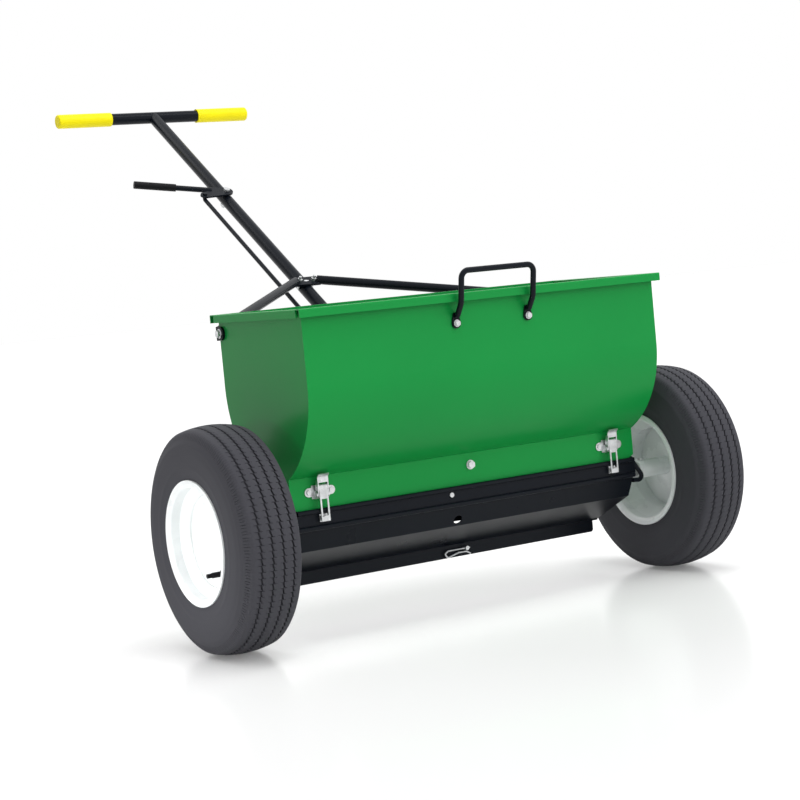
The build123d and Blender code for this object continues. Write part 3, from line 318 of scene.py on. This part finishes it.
def tyre_rubber(colours):
    """Tyre rubber: blacker on the sidewall and rougher where the tread runs, with the tread painted greyer
    as painted light on it.
    """
    finish = Finish("tyre_rubber", colours.rubber, 0.55, shine=0.12)
    across = finish.add("ShaderNodeVectorMath", operation="MULTIPLY_ADD")
    across.inputs[1].default_value = (0, 1, 1)
    across.inputs[2].default_value = (0, -AXLE_Y, -AXLE_Z)
    finish.join(finish.place, across.inputs[0])
    radius = finish.add("ShaderNodeVectorMath", operation="LENGTH")
    finish.join(across.outputs["Vector"], radius.inputs[0])
    tread = finish.ramp(radius.outputs["Value"], 0.0, 1.0, TYRE_R - 0.011, TYRE_R - 0.002)
    dust = finish.ramp(finish.noise(45.0, 6.0), 0.0, 1.0)
    dusty = finish.mix(dust, colours.rubber, shade(colours.rubber, 1.2))
    # Painted light: the tread is painted twice as light as the sidewall, standing in for the light that
    # falls on it.
    tread_painted_light = finish.mix(tread, dusty, shade(colours.rubber, 2.0))
    finish.join(tread_painted_light, finish.shader.inputs["Base Color"])
    finish.join(finish.ramp(tread, 0.46, 0.68, 0.0, 1.0), finish.shader.inputs["Roughness"])
    finish.bump(finish.noise(650.0, 5.0), 0.00012, 0.6)
    return finish.material


def zinc_plate(colours):
    """Bright zinc plate on stamped steel, a little streaked."""
    finish = Finish("zinc_plate", colours.zinc, 0.34, 0.9)
    tint = finish.ramp(finish.noise(120.0, 5.0), 0.0, 1.0)
    colour = finish.mix(tint, shade(colours.zinc, 0.8), shade(colours.zinc, 1.12))
    finish.join(colour, finish.shader.inputs["Base Color"])
    finish.vary_roughness(260.0, 0.26, 0.46, (1.0, 1.0, 0.2))
    finish.bump(finish.noise(900.0, 3.0), 0.00005, 0.5)
    return finish.material


def drawn_steel(colours):
    """Cold-drawn axle steel with fine lines round it and a film of oil."""
    finish = Finish("drawn_steel", (0.42, 0.42, 0.42), 0.36, 1.0)
    finish.vary_roughness(500.0, 0.28, 0.48, (1.0, 0.1, 0.1))
    finish.bump(finish.noise(900.0, 3.0, (4.0, 0.2, 0.2)), 0.00004, 0.5)
    return finish.material


def bush_bronze(colours):
    """Sintered bronze of the axle bushes, open-grained."""
    finish = Finish("bush_bronze", (0.42, 0.27, 0.11), 0.45, 1.0)
    finish.vary_roughness(400.0, 0.38, 0.6)
    finish.bump(finish.noise(1600.0, 2.0), 0.0001, 0.6)
    return finish.material


def grip_vinyl(colours):
    """Dipped yellow vinyl: soft sheen, faint sags and handling marks."""
    finish = Finish("grip_vinyl", colours.yellow, 0.42, shine=0.2)
    tint = finish.ramp(finish.noise(30.0, 5.0), 0.0, 1.0)
    colour = finish.mix(tint, shade(colours.yellow, 0.96), shade(colours.yellow, 1.03))
    finish.join(colour, finish.shader.inputs["Base Color"])
    finish.vary_roughness(60.0, 0.36, 0.52)
    finish.bump(finish.noise(700.0, 3.0), 0.00008, 0.5)
    return finish.material


def black_vinyl(colours):
    """Dipped black vinyl on the lever, and the rubber of the valve stems."""
    finish = Finish("black_vinyl", (0.006, 0.006, 0.007), 0.5, shine=0.12)
    finish.vary_roughness(80.0, 0.42, 0.6)
    finish.bump(finish.noise(800.0, 3.0), 0.0001, 0.5)
    return finish.material


RECIPES = {
    "hopper_green": green_enamel,
    "frame_black": black_coat,
    "rim_white": rim_enamel,
    "tyre_rubber": tyre_rubber,
    "valve_rubber": black_vinyl,
    "zinc": zinc_plate,
    "bright_steel": drawn_steel,
    "bush_bronze": bush_bronze,
    "grip_yellow": grip_vinyl,
    "lever_vinyl": black_vinyl,
}


def finish_for(slot):
    """The material of a record slot, made once."""
    name = RECIPES[slot].__name__
    found = bpy.data.materials.get(name)
    return found or RECIPES[slot](bpy.context.scene.seeder_finish)


def dress(piece, slot, body):
    """Give a new piece the finish of its slot and the body that it rides on."""
    piece.data.materials.clear()
    piece.data.materials.append(finish_for(slot))
    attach(piece, body)
    return piece


# Pieces

class SEEDER_OT_finishes(Operator):
    """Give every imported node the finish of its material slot"""
    bl_idname = "seeder.finishes"
    bl_label = "Frame finishes"

    def execute(self, context):
        slots = {part["node"]: part["material_slot"] for part in frame["record"]["subparts"]}
        for name, node in NODES.items():
            material = finish_for(slots[name])
            node.data.materials.clear()
            node.data.materials.append(material)
        return {"FINISHED"}


# The tyre's outline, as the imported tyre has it

TREAD_HALF = 0.046
TREAD_DROP = 0.0065
TYRE_HALF = 0.059
BEAD_R = 0.1016
BEAD_HALF = 0.0545
FLANGE_R = 0.112
LINER_HALF = 0.0405
CROWN_THICKNESS = 0.009
# The wall inside the tyre, as (distance from the middle, radius)
LINER = ((LINER_HALF, BEAD_R), (LINER_HALF, FLANGE_R + 0.004), (0.046, 0.135), (0.047, 0.16), (0.04, 0.18),
         (0.022, 0.192))
# Around each groove: how far the sipes run, the rounding of its edge and the slope of its wall
SIPE_REACH = 0.0045
SIPE_END = 0.0003
EDGE_ROUND = 0.0004
WALL_SLOPE = 0.0006
EDGE_DROP = 0.0003
SIPE_SHARE = 0.45
NOTCH = 0.0012
NOTCH_START = 0.0004
UPPER_RING = 0.0007
LOWER_RING = 0.0006


def crown_radius(a):
    """Radius of the tread at a distance from the tyre's middle."""
    return TYRE_R - TREAD_DROP * (a / TREAD_HALF) ** 2


def arc_through(start, through, end, steps):
    """Points along the circle through three points, the first left out."""
    (ax, ay), (bx, by), (cx, cy) = start, through, end
    d = 2 * (ax * (by - cy) + bx * (cy - ay) + cx * (ay - by))
    aa, bb, cc = ax * ax + ay * ay, bx * bx + by * by, cx * cx + cy * cy
    ux = (aa * (by - cy) + bb * (cy - ay) + cc * (ay - by)) / d
    uy = (aa * (cx - bx) + bb * (ax - cx) + cc * (bx - ax)) / d
    radius = ((ax - ux) ** 2 + (ay - uy) ** 2) ** 0.5
    a0 = atan2(ay - uy, ax - ux)
    a1 = atan2(cy - uy, cx - ux)
    mid = atan2(by - uy, bx - ux)
    sweep = (a1 - a0) % (2 * pi)
    if (mid - a0) % (2 * pi) > sweep:
        sweep -= 2 * pi
    return [(ux + radius * cos(a0 + sweep * k / steps), uy + radius * sin(a0 + sweep * k / steps))
            for k in range(1, steps + 1)]


def tyre_columns(tread):
    """Half of the tyre's outside from the crown's middle to the bead.

    Each entry is (distance from the middle, radius, share of the saw tooth, sipe depth, serration depth).
    """
    half = []

    def add(a, saw=0.0, sipe=0.0, drop=0.0, notch=0.0):
        half.append((a, crown_radius(a) - drop, saw, sipe, notch))

    sipe = SIPE_SHARE * tread.depth
    side = tread.groove / 2
    grooves = [0.5 * tread.spacing, 1.5 * tread.spacing]
    add(0.0)
    for centre in grooves:
        add(centre - side - SIPE_REACH - SIPE_END)
        add(centre - side - SIPE_REACH, 0.0, sipe)
        add(centre - side - EDGE_ROUND, 1.0, sipe)
        add(centre - side, 1.0, sipe, EDGE_DROP)
        add(centre - side + WALL_SLOPE, 1.0, 0.0, tread.depth)
        add(centre + side - WALL_SLOPE, 1.0, 0.0, tread.depth)
        add(centre + side, 1.0, sipe, EDGE_DROP)
        add(centre + side + EDGE_ROUND, 1.0, sipe)
        add(centre + side + SIPE_REACH, 0.0, sipe)
        add(centre + side + SIPE_REACH + SIPE_END)
    add(TREAD_HALF - 0.0045)
    add(TREAD_HALF - 0.001, notch=NOTCH_START)
    shoulder = (TREAD_HALF, TYRE_R - TREAD_DROP)
    bulge = (TYRE_HALF, (TYRE_R + BEAD_R) / 2)
    top = (BEAD_HALF, FLANGE_R + 0.001)
    upper = arc_through(shoulder, (TYRE_HALF - 0.0034, TYRE_R - 0.0245), bulge, 14)
    for number, (a, r) in enumerate(upper):
        notch = NOTCH if number in (1, 2, 3) else 0.0
        ring = UPPER_RING if number in (6, 7) else 0.0
        half.append((a + ring, r, 0.0, 0.0, notch))
    wall = arc_through(bulge, (TYRE_HALF - 0.0011, (bulge[1] + top[1]) / 2), top, 12)
    for number, (a, r) in enumerate(wall):
        ring = LOWER_RING if number in (4, 5) else 0.0
        half.append((a + ring, r, 0.0, 0.0, 0.0))
    bead = ((BEAD_HALF, BEAD_R + 0.0044), (BEAD_HALF - 0.004, BEAD_R))
    return half + [(a, r, 0.0, 0.0, 0.0) for a, r in bead + LINER]


# Where the columns of one tread pitch lie, and which of them fall in a sipe or a shoulder notch.
PITCH_STEPS = (0.0, 0.06, 0.12, 0.3, 0.44, 0.5, 0.56, 0.8)
SIPE_STEP = 0.06
SAW_TURN = 0.12
NOTCH_STEPS = (0.06, 0.5)
NOTCH_PULL = 0.6


def tyre_mesh(name, centre_x, side, tread):
    """Tyre with saw-edged ribs, sipes, a notched shoulder and raised rings on the wall."""
    half = tyre_columns(tread)
    inner_crown = (0.0, TYRE_R - CROWN_THICKNESS, 0.0, 0.0, 0.0)
    profile = half + [inner_crown] + [(-a, r, saw, sipe, notch) for a, r, saw, sipe, notch in half[:0:-1]]
    a, r, saw, sipe, notch = (np.array(column) for column in zip(*profile))
    steps = np.array(PITCH_STEPS)
    turns = (np.arange(tread.pitches)[:, None] + steps[None, :]).ravel() / tread.pitches * 2 * pi
    phase = np.tile(steps, tread.pitches)
    drop = 1 - 2 * phase / SAW_TURN
    rise = (phase - SAW_TURN) / (1 - SAW_TURN) * 2 - 1
    ride_up = np.where(phase < SAW_TURN, drop, rise)
    in_sipe = (phase == SIPE_STEP).astype(float)
    in_notch = np.isin(phase, NOTCH_STEPS).astype(float)
    along = a[None, :] + tread.tooth * saw[None, :] * ride_up[:, None]
    radius = r[None, :] - sipe[None, :] * in_sipe[:, None]
    width = np.sign(a)[None, :] * notch[None, :] * in_notch[:, None]
    along = along - NOTCH_PULL * width
    radius = radius - notch[None, :] * in_notch[:, None]
    points = np.stack([
        centre_x + side * along,
        AXLE_Y + radius * np.sin(turns)[:, None],
        AXLE_Z + radius * np.cos(turns)[:, None]], -1)
    mesh = grid_mesh(name, points)
    outward(mesh)
    shade_smooth(mesh)
    return mesh


class SEEDER_OT_tyres(Operator):
    """Model both tyres with their tread in place of the plain rubber rings"""
    bl_idname = "seeder.tyres"
    bl_label = "Tyres"

    def execute(self, context):
        tread = context.scene.seeder_tyre
        for side, body in ((-1, "left_wheel"), (1, "axle_wheel")):
            word = "left" if side < 0 else "right"
            name = f"{word}_tread_tyre"
            piece = link(name, tyre_mesh(name, middle(f"{word}_tyre", 0), side, tread))
            dress(piece, "tyre_rubber", body)
            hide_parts(f"{word}_tyre")
        return {"FINISHED"}


# Stage

TOP_FROM = (0.1, -0.15, 1.0)
FRONT_FROM = (0.45, -0.8, 0.35)
SUN_ANGLE = radians(60)
# Each lamp: place, aim, and size of its panel
STRIP_LAMP = ((0.4, -1.0, 2.9), (0, -0.1, 0.6), (2.2, 0.35))
BACK_LAMP = ((-0.5, 2.4, 3.2), (0, 0, 0.5), (3.0, 1.6))
WHEEL_LAMP = ((-2.5, -1.0, 0.4), (-0.55, -0.48, 0.13), (0.25, 0.25))
STRIP_SHARE = 0.5
WHEEL_LAMP_SPREAD = radians(14)
FLOOR_HALF = 30
FLOOR_ROUGHNESS = 0.18
FLOOR_SHINE = 0.25
FLOOR_LIFT = 0.12
# The white surroundings: as light on the machine, and as seen directly or in a reflection
SOFT_LEVEL = 0.4
SEEN_LEVEL = 1.0
SENSOR_WIDTH = 36
FAR_CLIP = 100
WHITE = (1, 1, 1, 1)


def view_matrix(stage):
    """The camera's matrix from its place, yaw, pitch and roll."""
    level = Vector((sin(stage.yaw), cos(stage.yaw), 0))
    forward = level * cos(stage.pitch) - Vector((0, 0, sin(stage.pitch)))
    right = Vector((cos(stage.yaw), -sin(stage.yaw), 0))
    up = right.cross(forward)
    across = cos(stage.roll) * right + sin(stage.roll) * up
    upward = -sin(stage.roll) * right + cos(stage.roll) * up
    turned = Matrix((across, upward, -forward)).transposed().to_4x4()
    return Matrix.Translation(Vector(stage.eye)) @ turned


def seen_ray(tree):
    """1 for rays from the camera, in a reflection or through glass, and 0 for light."""
    path = tree.nodes.new("ShaderNodeLightPath")
    seen = path.outputs["Is Camera Ray"]
    for ray in ("Is Glossy Ray", "Is Transmission Ray"):
        either = tree.nodes.new("ShaderNodeMath")
        either.operation = "MAXIMUM"
        tree.links.new(seen, either.inputs[0])
        tree.links.new(path.outputs[ray], either.inputs[1])
        seen = either.outputs["Value"]
    return seen


def floor_material(stage):
    """Pale satin floor with a soft reflection, lifted to white where the camera sees it."""
    material = bpy.data.materials.new("studio_floor")
    material.use_nodes = True
    tree = material.node_tree
    shader = tree.nodes["Principled BSDF"]
    shader.inputs["Base Color"].default_value = (*stage.floor, 1)
    shader.inputs["Roughness"].default_value = FLOOR_ROUGHNESS
    shader.inputs["Specular IOR Level"].default_value = FLOOR_SHINE
    lift = tree.nodes.new("ShaderNodeEmission")
    lift.inputs["Color"].default_value = WHITE
    amount = tree.nodes.new("ShaderNodeMath")
    amount.operation = "MULTIPLY"
    amount.inputs[1].default_value = FLOOR_LIFT
    tree.links.new(seen_ray(tree), amount.inputs[0])
    tree.links.new(amount.outputs["Value"], lift.inputs["Strength"])
    total = tree.nodes.new("ShaderNodeAddShader")
    tree.links.new(shader.outputs["BSDF"], total.inputs[0])
    tree.links.new(lift.outputs["Emission"], total.inputs[1])
    tree.links.new(total.outputs["Shader"], tree.nodes["Material Output"].inputs["Surface"])
    return material


def add_sun(name, way, strength):
    """A wide soft sun that lights the machine but isn't mirrored in it."""
    light = bpy.data.lights.new(name, "SUN")
    light.energy = strength
    light.angle = SUN_ANGLE
    holder = bpy.data.objects.new(name, light)
    holder.visible_glossy = False
    bpy.context.scene.collection.objects.link(holder)
    holder.matrix_world = Vector(way).to_track_quat("Z", "Y").to_matrix().to_4x4()


def add_lamp(name, place, aim, size, power):
    """A panel lamp at a place, aimed at a point."""
    lamp = bpy.data.lights.new(name, "AREA")
    lamp.shape = "RECTANGLE"
    lamp.size, lamp.size_y = size
    lamp.energy = power
    holder = bpy.data.objects.new(name, lamp)
    bpy.context.scene.collection.objects.link(holder)
    turn = (Vector(aim) - Vector(place)).to_track_quat("-Z", "Y").to_matrix().to_4x4()
    holder.matrix_world = Matrix.Translation(Vector(place)) @ turn
    return holder


class SEEDER_OT_stage(Operator):
    """Set the camera, the pale floor, the soft lamps and the white surroundings"""
    bl_idname = "seeder.stage"
    bl_label = "Stage"

    def execute(self, context):
        stage = context.scene.seeder_stage
        camera = bpy.data.cameras.new("camera")
        camera.lens = stage.focal
        camera.sensor_width = SENSOR_WIDTH
        camera.clip_end = FAR_CLIP
        holder = bpy.data.objects.new("camera", camera)
        context.scene.collection.objects.link(holder)
        holder.matrix_world = view_matrix(stage)
        context.scene.camera = holder

        bm = bmesh.new()
        bmesh.ops.create_grid(bm, x_segments=4, y_segments=4, size=FLOOR_HALF)
        mesh = bpy.data.meshes.new("floor")
        bm.to_mesh(mesh)
        bm.free()
        floor = link("floor", mesh)
        floor.data.materials.append(floor_material(stage))

        add_sun("top_light", TOP_FROM, stage.top)
        add_sun("front_light", FRONT_FROM, stage.front)
        add_lamp("strip_lamp", *STRIP_LAMP, stage.lamp * STRIP_SHARE)
        add_lamp("back_lamp", *BACK_LAMP, stage.lamp)
        side = add_lamp("wheel_lamp", *WHEEL_LAMP, stage.wheel_lamp)
        side.data.spread = WHEEL_LAMP_SPREAD

        world = bpy.data.worlds.new("studio")
        context.scene.world = world
        world.use_nodes = True
        tree = world.node_tree
        background = tree.nodes["Background"]
        background.inputs["Color"].default_value = WHITE
        level = tree.nodes.new("ShaderNodeMapRange")
        level.inputs["To Min"].default_value = SOFT_LEVEL
        level.inputs["To Max"].default_value = SEEN_LEVEL
        tree.links.new(seen_ray(tree), level.inputs["Value"])
        tree.links.new(level.outputs["Result"], background.inputs["Strength"])
        context.scene.view_settings.view_transform = "Standard"
        return {"FINISHED"}


# The panel, and running the whole

STEPS = (SEEDER_OT_finishes, SEEDER_OT_tyres, SEEDER_OT_stage)


class SEEDER_PT_panel(Panel):
    """The seeder's sizes, colours and pieces"""
    bl_idname = "SEEDER_PT_panel"
    bl_label = "Drop Seeder"
    bl_space_type = "VIEW_3D"
    bl_region_type = "UI"
    bl_category = "Seeder"

    def draw(self, context):
        for name, group in GROUPS:
            box = self.layout.box()
            box.label(text=group.__name__.replace("Seeder", ""))
            for prop in group.__annotations__:
                box.prop(getattr(context.scene, name), prop)
        for step in STEPS:
            self.layout.operator(step.bl_idname)


def register():
    for name, group in GROUPS:
        bpy.utils.register_class(group)
        setattr(bpy.types.Scene, name, PointerProperty(type=group))
    for step in STEPS:
        bpy.utils.register_class(step)
    bpy.utils.register_class(SEEDER_PT_panel)


def unregister():
    bpy.utils.unregister_class(SEEDER_PT_panel)
    for step in reversed(STEPS):
        bpy.utils.unregister_class(step)
    for name, group in reversed(GROUPS):
        delattr(bpy.types.Scene, name)
        bpy.utils.unregister_class(group)


def main():
    register()
    for step in STEPS:
        group, name = step.bl_idname.split(".")
        getattr(getattr(bpy.ops, group), name)()


if __name__ == "__main__":
    main()
